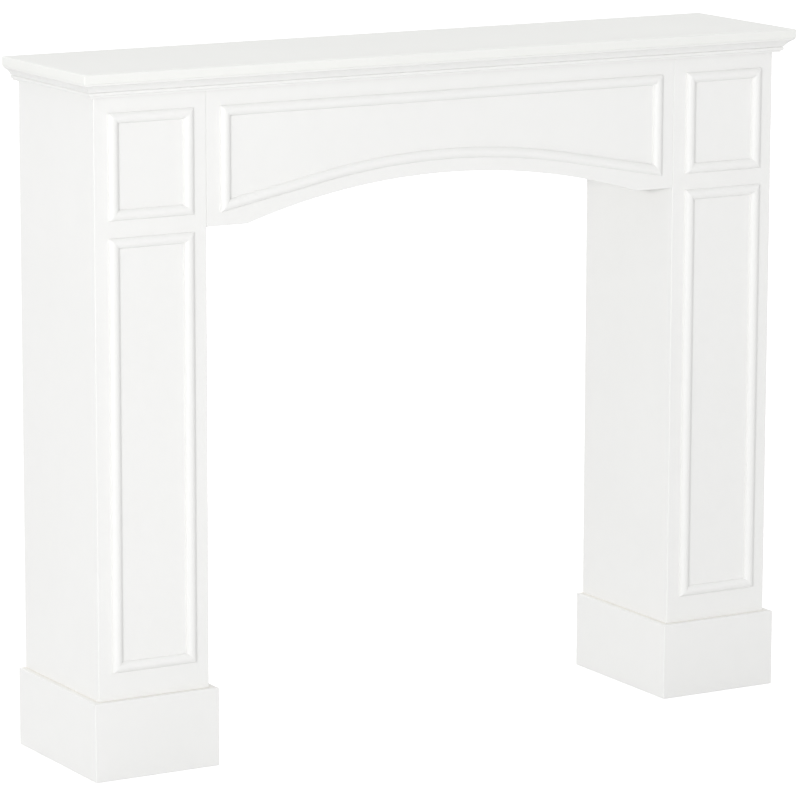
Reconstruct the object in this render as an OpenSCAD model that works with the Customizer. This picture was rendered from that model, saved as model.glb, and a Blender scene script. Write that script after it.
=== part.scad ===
// Fireplace mantelpiece: a painted board surround that stands on its own two legs.
// X runs along the shelf, the front faces -Y and the wall side +Y.
// The origin is on the floor, midway between the ends and between front and back.

/* [Overall] */
// Width of the shelf, which is the widest piece
shelf_w = 1200; // [1000:10:1600]
// Depth of the shelf from its front edge to the wall
shelf_d = 266; // [200:2:400]
// Height of the shelf's top above the floor
height = 1020; // [850:5:1300]

/* [Shelf] */
// Thickness of the shelf board
shelf_t = 14; // [12:1:40]
// How far the shelf stands out past the legs, in front and at both ends
overhang = 26; // [22:1:60]

/* [Crown moulding] */
// Height of the moulding under the shelf
crown_h = 21.5; // [19.5:0.5:29]
// How far the moulding's top stands out from the legs
crown_w = 24.5; // [22:0.5:25.5]
// Height of the upright band at the moulding's top
crown_band_h = 2; // [1:0.5:4]
// Radius of the hollow between that band and the bead
cove_r = 26; // [14:0.5:40]
// Radius of the round bead under the hollow
crown_bead_r = 3; // [2:0.5:3.5]
// How far that bead stands out from the legs
crown_bead_w = 12.5; // [11:0.5:13.5]
// How far the foot of the hollow stands out past the middle of the bead
cove_step = 3; // [1:0.5:4]
// Height of the flat below the bead, which ends the moulding
crown_flat_h = 2.5; // [1.5:0.5:5]
// How far that flat stands out from the legs
crown_flat_w = 9; // [6:0.5:10.5]

/* [Legs] */
// Width of each leg's front
leg_w = 178; // [140:1:220]
// Thickness of the leg boards
leg_t = 15; // [9:1:25]

/* [Plinth blocks] */
// Height of the plinth blocks
plinth_h = 116; // [60:1:200]
// Thickness of the plinth boards, which is how far they stand out from the legs
plinth_t = 11; // [6:1:25]

/* [Frieze] */
// Height of the frieze at its ends, from the corners of the hearth opening to the shelf
frieze_h = 217; // [190:1:400]
// Rise of the arch above those corners
arch_rise = 51; // [30:1:80]
// Length of the level stretch between each leg and the foot of the arch
arch_foot = 66; // [50:1:120]
// Thickness of the frieze board
frieze_t = 15; // [9:1:25]

/* [Panel beads] */
// Width of the bead moulding that outlines the panels
bead_w = 15; // [10:0.5:20]
// How far the bead stands out from the boards
bead_h = 7.5; // [5:0.5:12]
// Height of the upright edge at each side of the bead
bead_edge_h = 2.5; // [1:0.5:4]
// Space between a bead and the side edge of its board
panel_side = 22; // [15:1:40]
// Space between the beads and the crown moulding
panel_top = 23; // [10:1:40]
// Space between the frieze's lower edge and the bead that follows it
panel_arch = 20; // [12:1:40]
// Space between the upper and the lower panel of a leg
panel_gap = 25; // [10:1:60]
// Space between a leg's lower panel and its plinth block
panel_foot = 40; // [20:1:80]

/* [Hidden] */
$fn = 96;

// The two legs, as [name, side of the middle]
LEGS = [["left", -1], ["right", 1]];
// The sides of a panel outline, in the order of its corners from the lower left
SIDES = ["bottom", "right", "top", "left"];

// Levels and planes
shelf_z = height - shelf_t;
crown_z = shelf_z - crown_h;
wall_y = shelf_d / 2;
face_y = -wall_y + overhang;
leg_d = wall_y - face_y;
leg_x = shelf_w / 2 - overhang;
opening_x = leg_x - leg_w;
opening_h = shelf_z - frieze_h;

// The arch's circle, through both feet and the crown of the arch
arch_x = opening_x - arch_foot;
arch_r = (pow(arch_x, 2) + pow(arch_rise, 2)) / (2 * arch_rise);
arch_z = opening_h + arch_rise - arch_r;

// Outlines of the panels in the plane of the boards, as [left, bottom, right, top]
panel_top_z = crown_z - panel_top;
panel_low_z = opening_h + panel_arch;
frieze_panel = [
    -opening_x + panel_side,
    panel_low_z,
    opening_x - panel_side,
    panel_top_z
];
function leg_panel(side, low, high) = [
    side * (leg_x - leg_w / 2) - leg_w / 2 + panel_side,
    low,
    side * (leg_x - leg_w / 2) + leg_w / 2 - panel_side,
    high
];
function upper_panel(side) = leg_panel(side, panel_low_z, panel_top_z);
function lower_panel(side) = leg_panel(side, plinth_h + panel_foot, panel_low_z - panel_gap);

// The frieze bead keeps to a circle round the arch's centre, and leaves it along
// straight lines that run to the lower corners of the panel
arch_bead_r = arch_r + panel_arch;
corner_reach = norm([frieze_panel[2], panel_low_z - arch_z]);
corner_angle = atan2(frieze_panel[2], panel_low_z - arch_z);
bend_angle = corner_angle - acos(min(1, arch_bead_r / corner_reach));

// The bead's rounded top is part of a circle; the arch bead is carried along the arc in
// steps, with its top in steps too, counted from the middle to either side
cap_h = bead_h - bead_edge_h;
cap_r = (pow(bead_w / 2, 2) + pow(cap_h, 2)) / (2 * cap_h);
cap_steps = 6;
arc_steps = 10;

// Cuts run past the surfaces that they pass through by this much
eps = 1;

// Corners of a box outline, from the lower left and counter-clockwise
function box_corners(b) = [[b[0], b[1]], [b[2], b[1]], [b[2], b[3]], [b[0], b[3]]];

// Unit normal to the left of the line from p to q, which is inwards on such an outline
function inward(p, q) = [p[1] - q[1], q[0] - p[0]] / norm(q - p);

// The corner v moved inwards by d from both the lines whose inward normals are a and b
function mitre_corner(v, a, b, d) = v + d * (a + b) / (1 + a * b);

// A block between two opposite corners
module block(low, high) {
    translate(low)
        cube(high - low);
}

// Stands a shape drawn in XY, with its height along Z, against the front of the boards
module on_front() {
    translate([0, face_y, 0])
        rotate([90, 0, 0])
            children();
}

// ---- Shelf, frieze and legs ----

module shelf() {
    color("#f0f1ec")
        block([-shelf_w / 2, -wall_y, shelf_z], [shelf_w / 2, wall_y, height]);
}

module frieze() {
    color("#f2f2f0")
        difference() {
            block([-opening_x, face_y, opening_h], [opening_x, face_y + frieze_t, shelf_z]);
            intersection() {
                translate([0, face_y - eps, arch_z])
                    rotate([-90, 0, 0])
                        cylinder(r = arch_r, h = frieze_t + 2 * eps, $fn = 360);
                block(
                    [-arch_x, face_y - eps, opening_h - eps],
                    [arch_x, face_y + frieze_t + eps, shelf_z]
                );
            }
        }
}

// Three boards that wrap a leg, mitred at both front corners and open towards the wall.
// outline is [outer x, front y, inner x], measured from the middle, and side is -1 or 1.
module wrap_board(part, outline, side, t, h) {
    outer = outline[0];
    front = outline[1];
    inner = outline[2];
    plan = part == "front" ? [
            [outer, front],
            [outer - t, front + t],
            [inner + t, front + t],
            [inner, front]
        ]
        : part == "outer" ? [
            [outer, front],
            [outer, wall_y],
            [outer - t, wall_y],
            [outer - t, front + t]
        ]
        : [
            [inner, front],
            [inner + t, front + t],
            [inner + t, wall_y],
            [inner, wall_y]
        ];
    linear_extrude(h)
        polygon([for (p = plan) [side * p[0], p[1]]]);
}

module leg_board(part, side) {
    color("#f5f5f3")
        wrap_board(part, [leg_x, face_y, opening_x], side, leg_t, shelf_z);
}

module plinth_board(part, side) {
    color("#f1f1ef")
        wrap_board(
            part,
            [leg_x + plinth_t, face_y - plinth_t, opening_x - plinth_t],
            side,
            plinth_t,
            plinth_h
        );
}

// ---- Crown moulding ----

// Section of the moulding: X is out from the legs, Y is up from its lower edge
module crown_section() {
    bead_centre = [crown_bead_w - crown_bead_r, crown_flat_h + crown_bead_r];
    foot = bead_centre + [cove_step, crown_bead_r];
    brow = [crown_w, crown_h - crown_band_h];
    chord = brow - foot;
    bow = sqrt(pow(cove_r, 2) - pow(norm(chord) / 2, 2));
    cove_centre = (foot + brow) / 2 + bow * [chord[1], -chord[0]] / norm(chord);
    difference() {
        polygon([[0, foot[1]], foot, brow, [crown_w, crown_h], [0, crown_h]]);
        translate(cove_centre)
            circle(r = cove_r);
    }
    square([crown_flat_w, crown_flat_h]);
    translate([0, crown_flat_h])
        square([bead_centre[0], 2 * crown_bead_r]);
    translate(bead_centre)
        circle(r = crown_bead_r);
}

// A straight length of the moulding that stands out towards -Y, centred on X
module crown_bar(length) {
    translate([length / 2, 0, 0])
        rotate([90, 0, -90])
            linear_extrude(length)
                crown_section();
}

module crown_front() {
    reach = leg_x + crown_w;
    color("#eeeeec")
        intersection() {
            translate([0, face_y, crown_z])
                crown_bar(2 * reach);
            translate([0, 0, crown_z - eps])
                linear_extrude(crown_h + 2 * eps)
                    polygon([
                        [-leg_x, face_y],
                        [-reach, face_y - crown_w],
                        [reach, face_y - crown_w],
                        [leg_x, face_y]
                    ]);
        }
}

module crown_return(side) {
    reach = leg_x + crown_w;
    length = leg_d + crown_w;
    color("#eeeeec")
        intersection() {
            translate([side * leg_x, wall_y - length / 2, crown_z])
                rotate([0, 0, side * 90])
                    crown_bar(length);
            translate([0, 0, crown_z - eps])
                linear_extrude(crown_h + 2 * eps)
                    polygon([
                        [side * leg_x, face_y],
                        [side * reach, face_y - crown_w],
                        [side * reach, wall_y],
                        [side * leg_x, wall_y]
                    ]);
        }
}

// ---- Panel beads ----

// Section of the bead: X is across it, Y is out from the board
module bead_section() {
    intersection() {
        square([bead_w, bead_h]);
        translate([bead_w / 2, bead_h - cap_r])
            circle(r = cap_r);
    }
    square([bead_w, bead_edge_h]);
}

// A straight bead from p to q, with the bead's width to the left of that line
module bead_bar(p, q) {
    run = q - p;
    translate(p)
        rotate([0, 0, atan2(run[1], run[0])])
            rotate([90, 0, 90])
                linear_extrude(norm(run))
                    bead_section();
}

// Corners of the inner edge of a rectangular outline's bead
function inner_corners(corners) = [
    for (i = [0:3])
        mitre_corner(
            corners[i],
            inward(corners[(i + 3) % 4], corners[i]),
            inward(corners[i], corners[(i + 1) % 4]),
            bead_w
        )
];

// A straight side of an outline, mitred from its outer to its inner corners
module straight_bead(outer, inner, i) {
    j = (i + 1) % 4;
    color("#f7f7f5")
        on_front()
            intersection() {
                bead_bar(outer[i], outer[j]);
                linear_extrude(bead_h + eps)
                    polygon([outer[i], outer[j], inner[j], inner[i]]);
            }
}

// One side of a leg's panel outline, counted as in SIDES
module leg_bead(panel, i) {
    corners = box_corners(panel);
    straight_bead(corners, inner_corners(corners), i);
}

// One side of the frieze's panel outline. Its lower side runs along the arch, so the
// lower corners are mitred to the slope of the straight runs there.
module frieze_bead(i) {
    outer = box_corners(frieze_panel);
    level = inner_corners(outer);
    low = mitre_corner(outer[1], [sin(bend_angle), cos(bend_angle)], [-1, 0], bead_w);
    inner = [[-low[0], low[1]], low, level[2], level[3]];
    if (i == 0) arch_bead(outer[1], low);
    else straight_bead(outer, inner, i);
}

// Points round the bead's section, [across, out], from its outer foot to its inner foot
function bead_profile() = [
    [0, 0],
    for (i = [-cap_steps:cap_steps])
        let (a = asin(bead_w / 2 / cap_r) * i / cap_steps)
            [bead_w / 2 + cap_r * sin(a), bead_h - cap_r + cap_r * cos(a)],
    [bead_w, 0]
];

// Places along the arch bead's outer edge, from left to right, each with the direction in
// which its width is laid off: square to the edge, but along the mitre at both ends
function arch_stations(corner, mitre) = [
    [[-corner[0], corner[1]], [-mitre[0], mitre[1]]],
    for (i = [-arc_steps:arc_steps])
        let (a = bend_angle * i / arc_steps, out = [sin(a), cos(a)])
            [[0, arch_z] + arch_bead_r * out, out],
    [corner, mitre]
];

// The bead over the arch, carried along the arc and the straight runs at its two ends
module arch_bead(corner, inner_corner) {
    profile = bead_profile();
    stations = arch_stations(corner, (inner_corner - corner) / bead_w);
    ring = len(profile);
    last = (len(stations) - 1) * ring;
    points = [
        for (s = stations, p = profile)
            [s[0][0] + p[0] * s[1][0], s[0][1] + p[0] * s[1][1], p[1]]
    ];
    sides = [
        for (s = [0:ring:last - ring], i = [0:ring - 1])
            [s + i, s + (i + 1) % ring, s + ring + (i + 1) % ring, s + ring + i]
    ];
    ends = [
        [for (i = [0:ring - 1]) ring - 1 - i],
        [for (i = [0:ring - 1]) last + i]
    ];
    color("#f7f7f5")
        on_front()
            polyhedron(points, concat(sides, ends));
}

// ---- What is drawn ----

shelf();
frieze();
crown_front();
for (leg = LEGS) {
    crown_return(leg[1]);
    for (part = ["front", "outer", "inner"]) {
        leg_board(part, leg[1]);
        plinth_board(part, leg[1]);
    }
    for (i = [0:3]) {
        leg_bead(upper_panel(leg[1]), i);
        leg_bead(lower_panel(leg[1]), i);
    }
}
for (i = [0:3])
    frieze_bead(i);
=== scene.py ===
"""Painted fireplace mantelpiece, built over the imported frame.

Every board and moulding is a profile carried along a path, worked out with numpy in the
frame's own metres: X along the shelf, -Y towards the room, +Z up.
"""

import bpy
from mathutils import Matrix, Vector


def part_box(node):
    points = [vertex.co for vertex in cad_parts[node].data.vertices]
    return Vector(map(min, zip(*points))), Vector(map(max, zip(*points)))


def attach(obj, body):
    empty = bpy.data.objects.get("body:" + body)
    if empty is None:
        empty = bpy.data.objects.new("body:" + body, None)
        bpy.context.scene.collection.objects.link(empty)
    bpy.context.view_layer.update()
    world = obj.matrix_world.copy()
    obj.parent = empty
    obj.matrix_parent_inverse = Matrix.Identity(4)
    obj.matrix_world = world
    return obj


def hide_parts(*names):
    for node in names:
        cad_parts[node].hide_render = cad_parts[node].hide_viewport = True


bl_info = {
    "name": "Painted fireplace mantelpiece",
    "version": (1, 0, 0),
    "blender": (4, 5, 0),
    "location": "View3D > Sidebar > Mantelpiece",
    "description": "Painted mantelpiece with a moulded shelf, arched frieze and panelled legs",
    "category": "Add Mesh",
}

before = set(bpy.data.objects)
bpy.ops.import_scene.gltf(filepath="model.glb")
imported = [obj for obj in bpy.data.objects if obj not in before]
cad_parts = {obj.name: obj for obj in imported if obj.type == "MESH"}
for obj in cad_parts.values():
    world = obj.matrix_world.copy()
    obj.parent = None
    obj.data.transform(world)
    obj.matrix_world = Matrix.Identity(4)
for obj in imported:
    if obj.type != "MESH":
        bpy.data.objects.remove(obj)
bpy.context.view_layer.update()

import bpy
import numpy as np
from bpy.props import FloatProperty, FloatVectorProperty, IntProperty, PointerProperty
from mathutils import Matrix, Vector

SIDES = ("bottom", "right", "top", "left")
LEGS = (("left", -1.0), ("right", 1.0))
MM = 0.001

# Least radius of a corner when its outline is moved in, and the bend in degrees that reads as sharp
LEAST_RADIUS = 0.02 * MM
SHARP_EDGE = 40.0

# Paint: how closely its noises repeat (streaks: along and round a moulding), and the streaks' height
CLOUDS_PER_METRE = 3.0
PATCHES_PER_METRE = 38.0
STREAKS_PER_METRE = (3.0, 900.0, 1.0)
STREAK_DEPTH = 0.006 * MM

# Studio: the floor, how tightly the room's glow gathers, what the lamps are turned to, the view's end
FLOOR_HALF_WIDTH = 30.0
FLOOR_DROP = 0.2 * MM
GLOW_SHARPNESS = 8.0
KEY_TARGET = (0.0, 0.0, 0.5)
FILL_TARGET = (-0.5, 0.0, 0.6)
FILL_SIZE = (0.8, 1.2)
FARTHEST_VIEW = 100.0


# ---- Sizes, colours and studio settings ----


class MantelSizes(bpy.types.PropertyGroup):
    """Sizes of the finish that the frame's boxes don't give"""

    shelf_arris: FloatProperty(
        name="Shelf arris",
        description="Radius of the shelf's eased edges",
        default=1.8 * MM, min=0.2 * MM, max=6 * MM, unit="LENGTH", precision=4,
    )
    board_arris: FloatProperty(
        name="Board arris",
        description="Radius of the outer corners of the legs and plinths",
        default=1.3 * MM, min=0.2 * MM, max=4 * MM, unit="LENGTH", precision=4,
    )
    cut_arris: FloatProperty(
        name="Cut arris",
        description="Radius of the edges at joints and along the back",
        default=0.6 * MM, min=0.1 * MM, max=2 * MM, unit="LENGTH", precision=4,
    )
    arch_rise: FloatProperty(
        name="Arch rise",
        description="Rise of the frieze's arch above its feet",
        default=51 * MM, unit="LENGTH", precision=4,
    )
    arch_foot: FloatProperty(
        name="Arch foot",
        description="Level stretch of the frieze between each leg and the arch",
        default=66 * MM, unit="LENGTH", precision=4,
    )
    bead_edge: FloatProperty(
        name="Bead edge",
        description="Upright edge at each side of the panel bead",
        default=2.5 * MM, unit="LENGTH", precision=4,
    )
    crown_flat_height: FloatProperty(
        name="Crown flat height",
        description="Height of the flat along the crown moulding's lower edge",
        default=2.5 * MM, unit="LENGTH", precision=4,
    )
    crown_flat_reach: FloatProperty(
        name="Crown flat reach",
        description="How far that flat stands out from the boards",
        default=9 * MM, unit="LENGTH", precision=4,
    )
    crown_bead_radius: FloatProperty(
        name="Crown bead radius",
        description="Radius of the crown moulding's bead, above the flat",
        default=3 * MM, unit="LENGTH", precision=4,
    )
    crown_bead_reach: FloatProperty(
        name="Crown bead reach",
        description="How far the crown moulding's bead stands out from the boards",
        default=12.5 * MM, unit="LENGTH", precision=4,
    )
    cove_step: FloatProperty(
        name="Cove step",
        description="How far the foot of the hollow stands out past the middle of the bead",
        default=3 * MM, unit="LENGTH", precision=4,
    )
    crown_band: FloatProperty(
        name="Crown band",
        description="Height of the upright band at the crown moulding's top",
        default=2 * MM, unit="LENGTH", precision=4,
    )
    cove_radius: FloatProperty(
        name="Cove radius",
        description="Radius of the crown moulding's hollow",
        default=26 * MM, unit="LENGTH", precision=4,
    )
    arc_steps: IntProperty(
        name="Arc steps",
        description="Segments along each rounded edge or curve of a profile",
        default=8, min=2, max=24,
    )
    arch_steps: IntProperty(
        name="Arch steps",
        description="Segments along the arch of the frieze and of its bead",
        default=96, min=12, max=256,
    )


class MantelPaint(bpy.types.PropertyGroup):
    """Colours and surface of the satin paint"""

    shelf_colour: FloatVectorProperty(
        name="Shelf",
        description="Paint on the shelf board",
        subtype="COLOR", default=(0.90, 0.905, 0.88), min=0.0, max=1.0,
    )
    board_colour: FloatVectorProperty(
        name="Boards",
        description="Paint on the legs, frieze and plinths",
        subtype="COLOR", default=(0.90, 0.90, 0.888), min=0.0, max=1.0,
    )
    moulding_colour: FloatVectorProperty(
        name="Mouldings",
        description="Paint on the crown moulding and the panel beads",
        subtype="COLOR", default=(0.90, 0.90, 0.888), min=0.0, max=1.0,
    )
    primer_colour: FloatVectorProperty(
        name="Primer",
        description="Thin primer on the hidden faces and back edges",
        subtype="COLOR", default=(0.84, 0.82, 0.77), min=0.0, max=1.0,
    )
    roughness: FloatProperty(
        name="Roughness",
        description="Roughness of the satin paint",
        subtype="FACTOR", default=0.42, min=0.05, max=1.0,
    )
    peel_size: FloatProperty(
        name="Peel size",
        description="Size of the sprayed paint's fine ripples",
        default=2.2 * MM, unit="LENGTH", precision=4,
    )
    peel_depth: FloatProperty(
        name="Peel depth",
        description="Height of the ripples",
        default=0.012 * MM, unit="LENGTH", precision=5,
    )


class MantelStudio(bpy.types.PropertyGroup):
    """Camera, lights and floor"""

    azimuth: FloatProperty(
        name="Azimuth",
        description="Camera's angle round the piece, zero in front and negative to its left",
        default=-30.25, min=-180.0, max=180.0,
    )
    elevation: FloatProperty(
        name="Elevation",
        description="Camera's angle above the horizon",
        default=10.88, min=-10.0, max=90.0,
    )
    roll: FloatProperty(
        name="Roll",
        description="Turn of the camera about its own axis",
        default=0.15, min=-5.0, max=5.0,
    )
    distance: FloatProperty(
        name="Distance",
        description="From the camera to the point it is aimed at",
        default=7.022, min=1.0, max=50.0, unit="LENGTH",
    )
    aim: FloatVectorProperty(
        name="Aim",
        description="Point that the camera is aimed at",
        subtype="TRANSLATION", default=(-0.015, 0.0, 0.485),
    )
    lens: FloatProperty(
        name="Lens",
        description="Focal length in millimetres",
        default=211.8, min=20.0, max=600.0,
    )
    room_light: FloatProperty(
        name="Room light",
        description="Brightness of the white room all round",
        default=0.73, min=0.0, max=5.0,
    )
    glow_angles: FloatVectorProperty(
        name="Glow angles",
        description="Azimuth and elevation of the brighter part of the room, in degrees",
        size=2, default=(180.0, 53.0),
    )
    glow: FloatProperty(
        name="Glow",
        description="Extra brightness in the middle of that part",
        default=1.02, min=0.0, max=20.0,
    )
    key_angles: FloatVectorProperty(
        name="Key angles",
        description="Azimuth and elevation of the key lamp, in degrees",
        size=2, default=(-46.0, 12.0),
    )
    key_distance: FloatProperty(
        name="Key distance",
        description="From the key lamp to the middle of the piece",
        default=9.0, min=1.0, max=20.0, unit="LENGTH",
    )
    key_size: FloatProperty(
        name="Key size",
        description="Width and height of the key lamp",
        default=0.6, min=0.05, max=5.0, unit="LENGTH",
    )
    key_power: FloatProperty(
        name="Key power",
        description="Power of the key lamp, in watts",
        default=235.0, min=0.0, max=5000.0,
    )
    fill_place: FloatVectorProperty(
        name="Fill place",
        description="Centre of the tall softbox in front of the left leg",
        subtype="TRANSLATION", default=(-0.7, -2.2, 0.7),
    )
    fill_power: FloatProperty(
        name="Fill power",
        description="Power of that softbox, in watts",
        default=1.0, min=0.0, max=500.0,
    )
    floor_colour: FloatVectorProperty(
        name="Floor",
        description="Pale studio floor",
        subtype="COLOR", default=(0.81, 0.81, 0.81), min=0.0, max=1.0,
    )
    floor_glow: FloatProperty(
        name="Floor glow",
        description="Light that the floor adds towards the camera, so that it shows as white",
        default=0.6, min=0.0, max=2.0,
    )


# ---- Surfaces ----


def arc(centre, radius, start, end, steps):
    """Points of a circle's arc, centre + radius (cos a, sin a), with a going evenly from
    start to end in degrees."""
    a = np.radians(np.linspace(start, end, steps + 1))
    return np.asarray(centre) + radius * np.stack([np.cos(a), np.sin(a)], axis=1)


def easing(radius, steps):
    """Quarter round of an eased end, as pairs (distance from the end, inset of the outline).

    With angle a from 0 to 90 degrees the distance is radius (1 - sin a) and the inset is
    radius (1 - cos a), so the outline shrinks along a quarter circle as it nears the end.
    """
    a = np.linspace(0.0, np.pi / 2, steps + 1)
    return radius * (1 - np.sin(a)), radius * (1 - np.cos(a))


def carried(origins, across, out, rings):
    """Carries a profile along a path: point (i, j) is origin i + a j across i + b j out i.

    rings holds each station's profile as (a, b) pairs, or one profile for every station.
    """
    rings = np.asarray(rings, dtype=float)
    if rings.ndim == 2:
        rings = np.broadcast_to(rings, (len(origins),) + rings.shape)
    return (
        np.asarray(origins)[:, None, :]
        + rings[:, :, 0:1] * np.asarray(across)[:, None, :]
        + rings[:, :, 1:2] * np.asarray(out)[:, None, :]
    )


def lengths_along(points, axis):
    """Distance travelled from the first point along one axis of a grid, averaged over the other."""
    steps = np.linalg.norm(np.diff(points, axis=axis), axis=2).mean(axis=1 - axis)
    return np.concatenate([[0.0], np.cumsum(steps)])


def closed_tube(name, grid, bare=None):
    """Makes an object of a grid of points that closes round its second index, with flat ends.

    A face joins points (i, j), (i, j+1), (i+1, j+1) and (i+1, j); its UV map holds metres
    along the path and round the profile. The volume's sign tells whether the faces point
    outwards, and turns them if they don't. bare is 1 where a point of the profile is hidden
    and only primed.
    """
    rows, cols = grid.shape[:2]
    i, j = np.meshgrid(np.arange(rows - 1), np.arange(cols), indexing="ij")
    k = (j + 1) % cols
    quads = np.stack([i * cols + j, i * cols + k, (i + 1) * cols + k, (i + 1) * cols + j], axis=-1)
    quads = quads.reshape(-1, 4)
    first = np.arange(cols)[::-1]
    last = (rows - 1) * cols + np.arange(cols)
    verts = grid.reshape(-1, 3)

    a, b, c, d = (verts[quads[:, n]] for n in range(4))
    volume = np.einsum("ij,ij->i", a, np.cross(b, c)).sum()
    volume += np.einsum("ij,ij->i", a, np.cross(c, d)).sum()
    for cap in (first, last):
        fan = verts[cap]
        volume += np.einsum("j,ij->i", fan[0], np.cross(fan[1:-1], fan[2:])).sum()

    u = lengths_along(grid, 0)
    round_profile = np.concatenate([grid, grid[:, :1]], axis=1)
    v = lengths_along(round_profile, 1)
    quad_u = np.stack([u[i], u[i], u[i + 1], u[i + 1]], axis=-1).reshape(-1, 4)
    quad_v = np.stack([v[j], v[j + 1], v[j + 1], v[j]], axis=-1).reshape(-1, 4)
    if volume < 0:
        quads, quad_u, quad_v = quads[:, ::-1], quad_u[:, ::-1], quad_v[:, ::-1]
        first, last = first[::-1], last[::-1]

    mesh = bpy.data.meshes.new(name)
    mesh.from_pydata(verts.tolist(), [], [*quads.tolist(), first.tolist(), last.tolist()])
    uv = np.zeros((len(mesh.loops), 2))
    uv[: quads.size, 0] = quad_u.ravel()
    uv[: quads.size, 1] = quad_v.ravel()
    uv[quads.size:, 0] = np.repeat([u[0], u[-1]], cols)
    uv[quads.size:, 1] = np.tile(v[:-1], 2)
    mesh.uv_layers.new(name="Metres").data.foreach_set("uv", uv.ravel())
    hidden = np.zeros(cols) if bare is None else np.asarray(bare, dtype=float)
    layer = mesh.attributes.new("bare", "FLOAT", "POINT")
    layer.data.foreach_set("value", np.tile(hidden, rows))
    mesh.shade_smooth()
    mesh.set_sharp_from_angle(angle=np.radians(SHARP_EDGE))
    mesh.validate()
    piece = bpy.data.objects.new(name, mesh)
    bpy.context.scene.collection.objects.link(piece)
    piece.modifiers.new("Even shading", "WEIGHTED_NORMAL").keep_sharp = True
    return piece


def level_rings(rings, heights):
    """Stacks plan outlines at their heights."""
    grid = np.empty(rings.shape[:2] + (3,))
    grid[:, :, :2] = rings
    grid[:, :, 2] = heights[:, None]
    return grid


def inner_offsets(normals):
    """Offsets of an outline's corners for a strip one unit wide inside it.

    A corner's offset is (a + b) / (1 + a.b), for the inward normals a and b of the sides
    that meet there.
    """
    before = np.roll(normals, 1, axis=0)
    return (before + normals) / (1 + np.einsum("ij,ij->i", before, normals))[:, None]


def stand_for(piece, node, material):
    """Gives a finished piece its material and its place in the frame."""
    piece.data.materials.append(material)
    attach(piece, "root")
    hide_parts(node)


def corners_of(node):
    """Lowest and highest corner of a node, as two arrays in metres."""
    low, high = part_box(node)
    return np.array(low), np.array(high)


# ---- Profiles and outlines of this piece ----


def slab_outline(low, high, inset, radius, back_radius, steps):
    """Plan of the shelf moved in by inset: a rectangle with rounded corners."""
    r = max(radius - inset, LEAST_RADIUS)
    rb = max(back_radius - inset, LEAST_RADIUS)
    x0, x1 = low[0] + inset, high[0] - inset
    y0, y1 = low[1] + inset, high[1] - inset
    return np.concatenate([
        arc((x0 + r, y0 + r), r, 180, 270, steps),
        arc((x1 - r, y0 + r), r, 270, 360, steps),
        arc((x1 - rb, y1 - rb), rb, 0, 90, steps),
        arc((x0 + rb, y1 - rb), rb, 90, 180, steps),
    ])


def wrap_outline(part, place, thickness, inset, radius, cut, steps):
    """Plan of one of three boards that wrap a leg or its foot, and which points are hidden.

    place is (outer x, front y, inner x, wall y) of the wrap on the left. The boards meet on
    the 45 degree plane through each corner, so each has half of the corner's round. Outer
    faces are moved in by inset, and inner ones stay.
    """
    outer, front, inner, wall = place
    r = max(radius - inset, LEAST_RADIUS)
    back = max(cut - inset, LEAST_RADIUS)
    x0, x1, y0, t = outer + inset, inner - inset, front + inset, thickness
    if part == "front":
        points = np.concatenate([
            [(outer + t, front + t)],
            arc((x0 + r, y0 + r), r, 225, 270, steps),
            arc((x1 - r, y0 + r), r, 270, 315, steps),
            [(inner - t, front + t)],
        ])
        hidden = np.zeros(len(points))
        hidden[[0, -1]] = 1
        return points, hidden
    points = np.concatenate([
        [(outer + t, front + t)],
        arc((x0 + r, y0 + r), r, 225, 180, steps),
        arc((x0 + back, wall - back), back, 180, 90, steps),
        arc((outer + t - back, wall - back), back, 90, 0, steps),
    ])
    hidden = np.zeros(len(points))
    hidden[0] = 1
    hidden[-2 * (steps + 1):-(steps + 1)] = np.linspace(0, 1, steps + 1)
    hidden[-(steps + 1):] = 1
    if part == "inner":
        points[:, 0] = outer + inner - points[:, 0]
    return points, hidden


def crown_profile(sizes, height, reach):
    """Crown moulding's section, (out, up) from the boards and its lower edge.

    A flat stands at the foot and a round bead over it. From a small step over the bead a
    shallow hollow, which is an arc of cove_radius, runs out to an upright band under the shelf.
    """
    n = 2 * sizes.arc_steps
    bead = sizes.crown_bead_radius
    flat = np.array([sizes.crown_flat_reach, sizes.crown_flat_height])
    centre_of_bead = np.array([sizes.crown_bead_reach - bead, flat[1] + bead])
    foot = centre_of_bead + (sizes.cove_step, bead)
    brow = np.array([reach, height - sizes.crown_band])
    chord = brow - foot
    half = np.linalg.norm(chord) / 2
    normal = np.array([chord[1], -chord[0]]) / (2 * half)
    centre = (foot + brow) / 2 + np.sqrt(sizes.cove_radius**2 - half**2) * normal
    start, end = (np.degrees(np.arctan2(*(p - centre)[::-1])) % 360 for p in (foot, brow))
    return np.concatenate([
        [(0.0, 0.0), (flat[0], 0.0), flat],
        arc(centre_of_bead, bead, -90, 90, n),
        arc(centre, sizes.cove_radius, start, end, n),
        [(reach, height), (0.0, height)],
    ])


def bead_profile(sizes, width, height):
    """Panel bead's section, (across, out): a round top between two upright edges.

    The top is the arc through both edges' tops and the crest, with radius
    ((width/2)^2 + rise^2) / (2 rise), where rise is the height above the edges.
    """
    rise = height - sizes.bead_edge
    radius = ((width / 2) ** 2 + rise**2) / (2 * rise)
    spread = np.degrees(np.arcsin(width / 2 / radius))
    top = arc((width / 2, height - radius), radius, 90 + spread, 90 - spread, 3 * sizes.arc_steps)
    return np.concatenate([[(0.0, 0.0)], top, [(width, 0.0)]])


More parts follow.
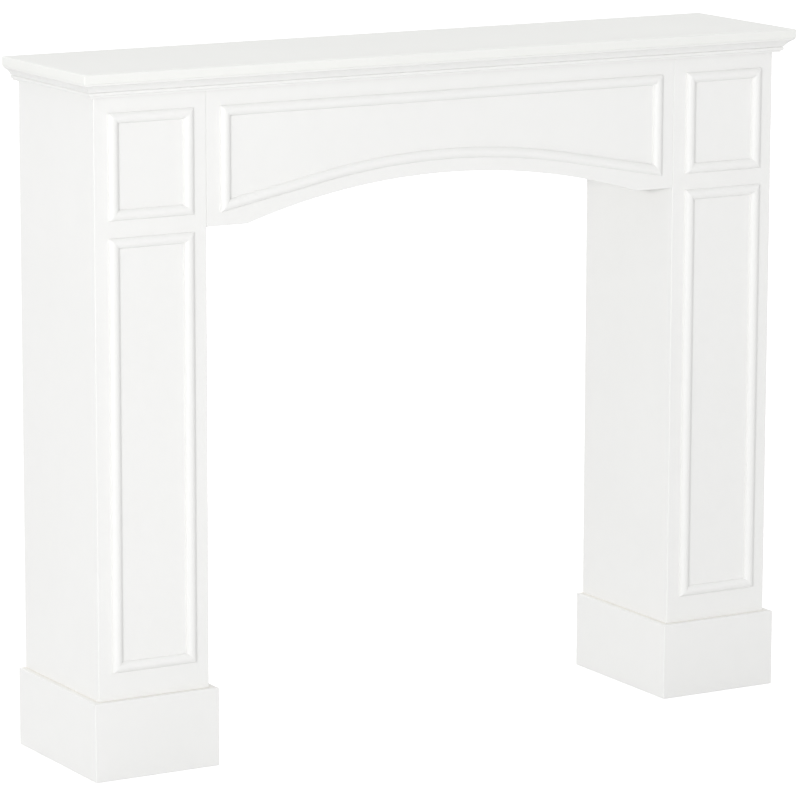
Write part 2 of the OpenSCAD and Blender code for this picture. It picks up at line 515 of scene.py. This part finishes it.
class Arch:
    """The frieze's arch: a circle through both feet, at the opening's height, and the crown."""

    def __init__(self, sizes):
        low, high = corners_of("frieze")
        self.foot_z = low[2]
        self.half_span = high[0] - sizes.arch_foot
        rise = sizes.arch_rise
        self.radius = (self.half_span**2 + rise**2) / (2 * rise)
        self.centre_z = self.foot_z + rise - self.radius

    def lower_edge(self, x):
        """Height of the frieze's lower edge: the circle between the feet, level outside them."""
        inside = np.minimum(np.abs(x), self.half_span)
        return self.centre_z + np.sqrt(self.radius**2 - inside**2)


# ---- Materials ----


def satin_paint(name, colour, paint, streaks=0.0):
    """Satin paint on smooth board, with primer where the piece is hidden.

    Broad cloudy variation in tone and roughness, the fine ripple of sprayed paint as bump,
    and on mouldings faint streaks along their length.
    """
    material = bpy.data.materials.new(name)
    material.use_nodes = True
    nodes, links = material.node_tree.nodes, material.node_tree.links
    shader = nodes["Principled BSDF"]
    shader.inputs["Specular IOR Level"].default_value = 0.45
    shader.inputs["Coat Weight"].default_value = 0.12
    shader.inputs["Coat Roughness"].default_value = 0.28

    place = nodes.new("ShaderNodeTexCoord")

    def noise(scale, detail, vector):
        node = nodes.new("ShaderNodeTexNoise")
        node.inputs["Scale"].default_value = scale
        node.inputs["Detail"].default_value = detail
        links.new(vector, node.inputs["Vector"])
        return node.outputs["Fac"]

    def ramp(value, low, high, start=0.35, stop=0.65):
        node = nodes.new("ShaderNodeMapRange")
        node.inputs["From Min"].default_value = start
        node.inputs["From Max"].default_value = stop
        node.inputs["To Min"].default_value = low
        node.inputs["To Max"].default_value = high
        links.new(value, node.inputs["Value"])
        return node.outputs["Result"]

    def tint(colour_in, factor):
        node = nodes.new("ShaderNodeVectorMath")
        node.operation = "SCALE"
        links.new(colour_in, node.inputs[0])
        links.new(factor, node.inputs["Scale"])
        return node.outputs["Vector"]

    cloud = noise(CLOUDS_PER_METRE, 3.0, place.outputs["Object"])
    patches = noise(PATCHES_PER_METRE, 4.0, place.outputs["Object"])
    peel = noise(1.0 / paint.peel_size, 2.0, place.outputs["Object"])

    hidden = nodes.new("ShaderNodeAttribute")
    hidden.attribute_name = "bare"
    base = nodes.new("ShaderNodeMix")
    base.data_type = "RGBA"
    base.inputs["A"].default_value = (*colour, 1.0)
    base.inputs["B"].default_value = (*paint.primer_colour, 1.0)
    links.new(hidden.outputs["Fac"], base.inputs["Factor"])
    toned = tint(base.outputs["Result"], ramp(cloud, 0.992, 1.006))
    toned = tint(toned, ramp(patches, 0.996, 1.003))
    links.new(toned, shader.inputs["Base Color"])

    gloss = nodes.new("ShaderNodeMath")
    gloss.operation = "ADD"
    links.new(ramp(patches, paint.roughness - 0.05, paint.roughness + 0.05), gloss.inputs[0])
    links.new(ramp(hidden.outputs["Fac"], 0.0, 0.35, 0.0, 1.0), gloss.inputs[1])
    links.new(gloss.outputs["Value"], shader.inputs["Roughness"])

    bump = nodes.new("ShaderNodeBump")
    bump.inputs["Strength"].default_value = 1.0
    bump.inputs["Distance"].default_value = paint.peel_depth
    links.new(peel, bump.inputs["Height"])
    if streaks > 0.0:
        stretch = nodes.new("ShaderNodeMapping")
        stretch.inputs["Scale"].default_value = STREAKS_PER_METRE
        links.new(place.outputs["UV"], stretch.inputs["Vector"])
        lines = nodes.new("ShaderNodeBump")
        lines.inputs["Strength"].default_value = 1.0
        lines.inputs["Distance"].default_value = streaks
        links.new(noise(1.0, 2.0, stretch.outputs["Vector"]), lines.inputs["Height"])
        links.new(lines.outputs["Normal"], bump.inputs["Normal"])
    links.new(bump.outputs["Normal"], shader.inputs["Normal"])
    return material


def shared_material(name, colour, paint, streaks=0.0):
    """The satin paint of that name, made once."""
    return bpy.data.materials.get(name) or satin_paint(name, colour, paint, streaks)


def shelf_paint(paint):
    """Paint of the shelf board."""
    return shared_material("Shelf paint", paint.shelf_colour, paint)


def board_paint(paint):
    """Paint of the legs, frieze and plinths."""
    return shared_material("Board paint", paint.board_colour, paint)


def moulding_paint(paint):
    """Paint of the crown moulding and the panel beads, with streaks along their length."""
    return shared_material("Moulding paint", paint.moulding_colour, paint, STREAK_DEPTH)


def floor_finish(studio):
    """Pale matt floor that glows towards the camera only, so it shows as plain white."""
    material = bpy.data.materials.new("Studio floor")
    material.use_nodes = True
    nodes, links = material.node_tree.nodes, material.node_tree.links
    shader = nodes["Principled BSDF"]
    shader.inputs["Base Color"].default_value = (*studio.floor_colour, 1.0)
    shader.inputs["Roughness"].default_value = 0.9
    shader.inputs["Specular IOR Level"].default_value = 0.0
    shader.inputs["Emission Color"].default_value = (1.0, 1.0, 1.0, 1.0)
    glow = nodes.new("ShaderNodeMath")
    glow.operation = "MULTIPLY"
    glow.inputs[1].default_value = studio.floor_glow
    links.new(nodes.new("ShaderNodeLightPath").outputs["Is Camera Ray"], glow.inputs[0])
    links.new(glow.outputs["Value"], shader.inputs["Emission Strength"])
    return material


def towards(azimuth, elevation):
    """Unit vector at an azimuth (zero in front, negative to the left) and elevation in degrees."""
    az, el = np.radians(azimuth), np.radians(elevation)
    return Vector((np.sin(az) * np.cos(el), -np.cos(az) * np.cos(el), np.sin(el)))


def softbox(name, place, back, size, power):
    """A rectangular lamp at a place, with its back turned along a direction."""
    data = bpy.data.lights.new(name, "AREA")
    data.shape = "RECTANGLE"
    data.size, data.size_y = size
    data.energy = power
    lamp = bpy.data.objects.new(name, data)
    lamp.location = place
    lamp.rotation_euler = back.to_track_quat("Z", "Y").to_euler()
    bpy.context.scene.collection.objects.link(lamp)


# ---- Operators ----


class MANTEL_OT_shelf(bpy.types.Operator):
    """Make the shelf: a slab with eased edges all round and a sharper back edge"""

    bl_idname = "mantel.shelf"
    bl_label = "Shelf"

    def execute(self, context):
        sizes, paint = context.scene.mantel_sizes, context.scene.mantel_paint
        low, high = corners_of("shelf")
        gap, inset = easing(sizes.shelf_arris, sizes.arc_steps)
        heights = np.concatenate([low[2] + gap[::-1], high[2] - gap])
        insets = np.concatenate([inset[::-1], inset])
        rings = np.stack([
            slab_outline(low, high, d, sizes.shelf_arris, sizes.cut_arris, sizes.arc_steps)
            for d in insets
        ])
        piece = closed_tube("painted_shelf", level_rings(rings, heights))
        stand_for(piece, "shelf", shelf_paint(paint))
        return {"FINISHED"}


class MANTEL_OT_wraps(bpy.types.Operator):
    """Make the legs and their plinths: three mitred boards each, open to the wall"""

    bl_idname = "mantel.wraps"
    bl_label = "Legs and plinths"

    def execute(self, context):
        sizes, paint = context.scene.mantel_sizes, context.scene.mantel_paint
        for kind, slot in (("leg", "boards"), ("plinth", "plinths")):
            low, high = corners_of(f"{kind}_front_left")
            wall = corners_of(f"{kind}_outer_left")[1][1]
            place = (low[0], low[1], high[0], wall)
            thickness = high[1] - low[1]
            top_arris = sizes.board_arris if kind == "plinth" else sizes.cut_arris
            gap, inset = easing(top_arris, sizes.arc_steps)
            foot_gap, foot_inset = easing(sizes.cut_arris, sizes.arc_steps)
            heights = np.concatenate([low[2] + foot_gap[::-1], high[2] - gap])
            insets = np.concatenate([foot_inset[::-1], inset])
            for part in ("front", "outer", "inner"):
                outlines = [
                    wrap_outline(
                        part, place, thickness, d,
                        sizes.board_arris, sizes.cut_arris, sizes.arc_steps,
                    )
                    for d in insets
                ]
                rings = np.stack([points for points, _ in outlines])
                for leg, side in LEGS:
                    node = f"{kind}_{part}_{leg}"
                    turned = rings * (-side, 1.0)
                    piece = closed_tube(
                        f"painted_{node}", level_rings(turned, heights), outlines[0][1]
                    )
                    stand_for(piece, node, board_paint(paint))
        return {"FINISHED"}


class MANTEL_OT_frieze(bpy.types.Operator):
    """Make the frieze: a board whose lower edge is level at the ends and arched between"""

    bl_idname = "mantel.frieze"
    bl_label = "Frieze"

    def execute(self, context):
        sizes, paint = context.scene.mantel_sizes, context.scene.mantel_paint
        low, high = corners_of("frieze")
        arch = Arch(sizes)
        n = sizes.arc_steps
        gap, inset = easing(sizes.cut_arris, n)
        curve = np.linspace(-arch.half_span, arch.half_span, sizes.arch_steps + 1)
        x = np.concatenate([low[0] + gap[::-1], curve, high[0] - gap])
        d = np.concatenate([inset[::-1], np.zeros_like(curve), inset])[:, None]
        r = sizes.cut_arris
        front_foot = arc((low[1] + r, r), r, 180, 270, n)
        back_foot = arc((high[1] - r, r), r, 270, 360, n)
        feet = np.concatenate([front_foot, back_foot])
        centre_y = (low[1] + high[1]) / 2
        towards_middle = np.sign(centre_y - feet[:, 0])
        grid = np.empty((len(x), len(feet) + 2, 3))
        grid[:, :, 0] = x[:, None]
        grid[:, :-2, 1] = feet[:, 0] + d * towards_middle
        grid[:, -2:, 1] = np.array([high[1], low[1]]) + d * (-1.0, 1.0)
        grid[:, :-2, 2] = arch.lower_edge(x)[:, None] + feet[:, 1] + d
        grid[:, -2:, 2] = high[2]
        hidden = np.zeros(len(feet) + 2)
        hidden[2 * n + 1:-1] = 1
        piece = closed_tube("painted_frieze", grid, hidden)
        stand_for(piece, "frieze", board_paint(paint))
        return {"FINISHED"}


class MANTEL_OT_crown(bpy.types.Operator):
    """Make the crown moulding: a front length and two returns, mitred at the corners"""

    bl_idname = "mantel.crown"
    bl_label = "Crown moulding"

    def execute(self, context):
        sizes, paint = context.scene.mantel_sizes, context.scene.mantel_paint
        low, high = corners_of("crown_front")
        reach = high[1] - low[1]
        profile = crown_profile(sizes, high[2] - low[2], reach)
        corner = np.array([high[0] - reach, high[1], low[2]])
        wall = corners_of("crown_left")[1][1]
        up = np.array([0.0, 0.0, 1.0])
        mirror = np.array([-1.0, 1.0, 1.0])
        mitre = np.array([1.0, -1.0, 0.0])
        lengths = {
            "front": ([corner * mirror, corner], [mitre * mirror, mitre]),
            "right": ([corner, (corner[0], wall, corner[2])], [mitre, (1.0, 0.0, 0.0)]),
            "left": (
                [corner * mirror, (-corner[0], wall, corner[2])],
                [mitre * mirror, (-1.0, 0.0, 0.0)],
            ),
        }
        for part, (ends, out) in lengths.items():
            piece = closed_tube(f"painted_crown_{part}", carried(ends, out, [up, up], profile))
            stand_for(piece, f"crown_{part}", moulding_paint(paint))
        return {"FINISHED"}


class MANTEL_OT_beads(bpy.types.Operator):
    """Make the panel beads: four mitred lengths round each panel"""

    bl_idname = "mantel.beads"
    bl_label = "Panel beads"

    def execute(self, context):
        scene = context.scene
        sizes = scene.mantel_sizes
        panels = [f"{row}_bead_{leg}" for leg, _ in LEGS for row in ("upper", "lower")]
        for panel in ("frieze_bead", *panels):
            upright_low, upright_high = corners_of(f"{panel}_left")
            low = np.array([upright_low[0], upright_low[2]])
            high = corners_of(f"{panel}_top")[1][[0, 2]]
            board_y = upright_high[1]
            profile = bead_profile(
                sizes, upright_high[0] - upright_low[0], upright_high[1] - upright_low[1]
            )
            corners = np.array([low, (high[0], low[1]), high, (low[0], high[1])])
            normals = np.array([(0.0, 1.0), (-1.0, 0.0), (0.0, -1.0), (1.0, 0.0)])
            paths = [np.stack([corners[i], corners[(i + 1) % 4]]) for i in range(4)]
            offsets = inner_offsets(normals)
            widths = [np.stack([offsets[i], offsets[(i + 1) % 4]]) for i in range(4)]
            if panel == "frieze_bead":
                self.follow_arch(sizes, corners, paths, widths)
            for side, path, width in zip(SIDES, paths, widths):
                node = f"{panel}_{side}"
                piece = closed_tube(f"painted_{node}", self.stand_up(path, width, profile, board_y))
                stand_for(piece, node, moulding_paint(scene.mantel_paint))
        return {"FINISHED"}

    @staticmethod
    def stand_up(path, width, profile, board_y):
        """Carries the profile along a path drawn in X and Z on the boards' front."""
        origins = np.stack([path[:, 0], np.full(len(path), board_y), path[:, 1]], axis=1)
        across = np.stack([width[:, 0], np.zeros(len(path)), width[:, 1]], axis=1)
        out = np.tile((0.0, -1.0, 0.0), (len(path), 1))
        return carried(origins, across, out, profile)

    @staticmethod
    def follow_arch(sizes, corners, paths, widths):
        """Bends the lower side round the arch's centre and mitres its neighbours to it.

        The bead keeps one distance from the arch over its middle. The line from the
        panel's lower corner touches that circle at bend degrees from the top, which is
        the corner's own angle less arccos(radius / reach).
        """
        arch = Arch(sizes)
        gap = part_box("frieze_bead_bottom")[1][2] - (arch.centre_z + arch.radius)
        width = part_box("frieze_bead_left")[1][0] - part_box("frieze_bead_left")[0][0]
        radius = arch.radius + gap - width
        corner = corners[1] - (0.0, arch.centre_z)
        reach = np.linalg.norm(corner)
        bend = np.arctan2(*corner) - np.arccos(min(1.0, radius / reach))
        a = np.linspace(-bend, bend, sizes.arch_steps + 1)
        rise = np.stack([np.sin(a), np.cos(a)], axis=1)
        slope = np.stack([rise[-1], (-1.0, 0.0)])
        mitre = slope.sum(axis=0) / (1 + slope[0] @ slope[1])
        across = np.array([-1.0, 1.0])
        curve = (0.0, arch.centre_z) + radius * rise
        paths[0] = np.concatenate([[corners[0]], curve, [corners[1]]])
        widths[0] = np.concatenate([[mitre * across], rise, [mitre]])
        widths[1][0] = mitre
        widths[3][1] = mitre * across


class MANTEL_OT_stage(bpy.types.Operator):
    """Make the floor, the soft studio light and the camera"""

    bl_idname = "mantel.stage"
    bl_label = "Studio"

    def execute(self, context):
        scene = context.scene
        studio = scene.mantel_studio
        self.make_floor(studio)
        self.light(scene, studio)
        self.aim_camera(scene, studio)
        scene.view_settings.view_transform = "Standard"
        return {"FINISHED"}

    @staticmethod
    def make_floor(studio):
        """A square floor just under the plinths."""
        turns = ((-1, -1), (1, -1), (1, 1), (-1, 1))
        corners = [(x * FLOOR_HALF_WIDTH, y * FLOOR_HALF_WIDTH, -FLOOR_DROP) for x, y in turns]
        mesh = bpy.data.meshes.new("studio_floor")
        mesh.from_pydata(corners, [], [(0, 1, 2, 3)])
        mesh.materials.append(floor_finish(studio))
        floor = bpy.data.objects.new("studio_floor", mesh)
        bpy.context.scene.collection.objects.link(floor)

    @staticmethod
    def light(scene, studio):
        """White room with one brighter part, a key lamp to the left and a soft fill in front.

        The room's brightness in a direction is the even light plus the glow times the
        cosine of the angle to the glow's middle, raised to the power GLOW_SHARPNESS.
        """
        world = bpy.data.worlds.new("Studio room")
        world.use_nodes = True
        nodes, links = world.node_tree.nodes, world.node_tree.links

        def math(operation, value, second, third=0.0):
            node = nodes.new("ShaderNodeMath")
            node.operation = operation
            links.new(value, node.inputs[0])
            node.inputs[1].default_value = second
            node.inputs[2].default_value = third
            return node.outputs["Value"]

        cosine = nodes.new("ShaderNodeVectorMath")
        cosine.operation = "DOT_PRODUCT"
        cosine.inputs[1].default_value = towards(*studio.glow_angles)
        links.new(nodes.new("ShaderNodeTexCoord").outputs["Generated"], cosine.inputs[0])
        near = math("POWER", math("MAXIMUM", cosine.outputs["Value"], 0.0), GLOW_SHARPNESS)
        brightness = math("MULTIPLY_ADD", near, studio.glow, studio.room_light)
        links.new(brightness, nodes["Background"].inputs["Strength"])
        nodes["Background"].inputs["Color"].default_value = (1.0, 1.0, 1.0, 1.0)
        scene.world = world

        key_side = towards(*studio.key_angles)
        key_place = Vector(KEY_TARGET) + studio.key_distance * key_side
        key_size = (studio.key_size, studio.key_size)
        softbox("key_lamp", key_place, key_side, key_size, studio.key_power)
        fill_place = Vector(studio.fill_place)
        fill_side = fill_place - Vector(FILL_TARGET)
        softbox("fill_lamp", fill_place, fill_side, FILL_SIZE, studio.fill_power)

    @staticmethod
    def aim_camera(scene, studio):
        """Puts the camera at its distance and angles from the aim, then rolls it."""
        back = towards(studio.azimuth, studio.elevation)
        camera = bpy.data.objects.new("camera", bpy.data.cameras.new("camera"))
        camera.data.lens = studio.lens
        camera.data.clip_end = FARTHEST_VIEW
        turn = back.to_track_quat("Z", "Y").to_matrix().to_4x4()
        roll = Matrix.Rotation(np.radians(studio.roll), 4, "Z")
        camera.matrix_world = (
            Matrix.Translation(Vector(studio.aim) + studio.distance * back) @ turn @ roll
        )
        scene.collection.objects.link(camera)
        scene.camera = camera


class MANTEL_PT_panel(bpy.types.Panel):
    """Lists the pieces in the order in which they are made"""

    bl_idname = "MANTEL_PT_panel"
    bl_label = "Mantelpiece"
    bl_space_type = "VIEW_3D"
    bl_region_type = "UI"
    bl_category = "Mantelpiece"

    def draw(self, context):
        layout, scene = self.layout, context.scene
        for operator in OPERATORS:
            layout.operator(operator.bl_idname)
        for settings in (scene.mantel_sizes, scene.mantel_paint, scene.mantel_studio):
            box = layout.box()
            for name in settings.__annotations__:
                box.prop(settings, name)


OPERATORS = (
    MANTEL_OT_stage,
    MANTEL_OT_shelf,
    MANTEL_OT_crown,
    MANTEL_OT_frieze,
    MANTEL_OT_wraps,
    MANTEL_OT_beads,
)
CLASSES = (MantelSizes, MantelPaint, MantelStudio, *OPERATORS, MANTEL_PT_panel)


def register():
    """Registers the classes and hangs the settings on the scene."""
    for cls in CLASSES:
        bpy.utils.register_class(cls)
    bpy.types.Scene.mantel_sizes = PointerProperty(type=MantelSizes)
    bpy.types.Scene.mantel_paint = PointerProperty(type=MantelPaint)
    bpy.types.Scene.mantel_studio = PointerProperty(type=MantelStudio)


def unregister():
    """Takes the settings off the scene and unregisters the classes."""
    del bpy.types.Scene.mantel_studio
    del bpy.types.Scene.mantel_paint
    del bpy.types.Scene.mantel_sizes
    for cls in reversed(CLASSES):
        bpy.utils.unregister_class(cls)


def main():
    register()
    bpy.ops.mantel.stage()
    bpy.ops.mantel.shelf()
    bpy.ops.mantel.crown()
    bpy.ops.mantel.frieze()
    bpy.ops.mantel.wraps()
    bpy.ops.mantel.beads()


if __name__ == "__main__":
    main()
